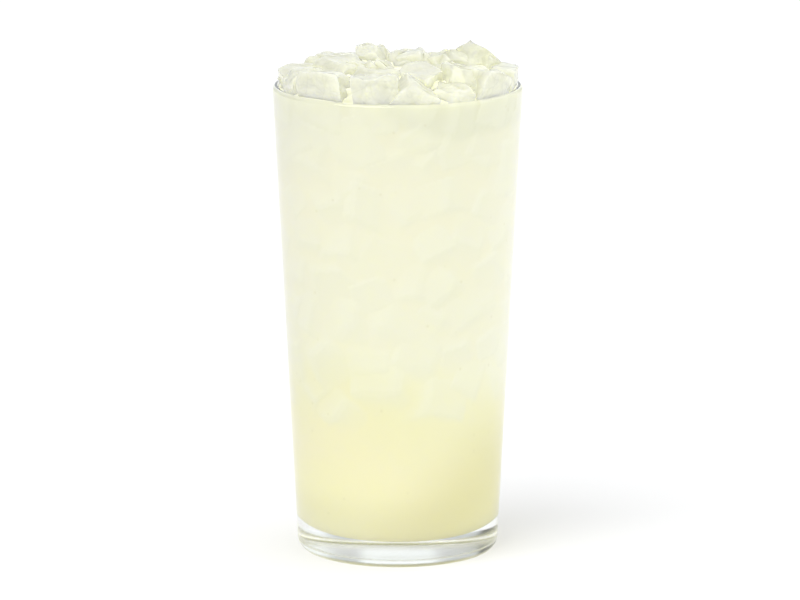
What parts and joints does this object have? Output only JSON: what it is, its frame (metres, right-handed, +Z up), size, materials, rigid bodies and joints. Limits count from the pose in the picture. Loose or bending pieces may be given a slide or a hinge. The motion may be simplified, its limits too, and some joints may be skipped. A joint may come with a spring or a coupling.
{
  "type": "glass of lemonade",
  "caption": "Tall tapered tumbler filled with cloudy iced lemonade, with a heap of ice lumps standing above its lip.",
  "frame": {"origin": "on the table, under the middle of the tumbler's foot", "axes": "+Z up along the tumbler's axis; -Y towards the viewer; +X to the viewer's right"},
  "size_m": [0.0854, 0.0854, 0.177],
  "materials": {
    "clear_glass": "polished",
    "lemonade": "cloudy liquid",
    "ice": "wet, half cloudy"
  },
  "bodies": {
    "root": {"glass": "clear_glass", "lemonade": "lemonade", "ice_heap": "ice"}
  },
  "joints": []
}
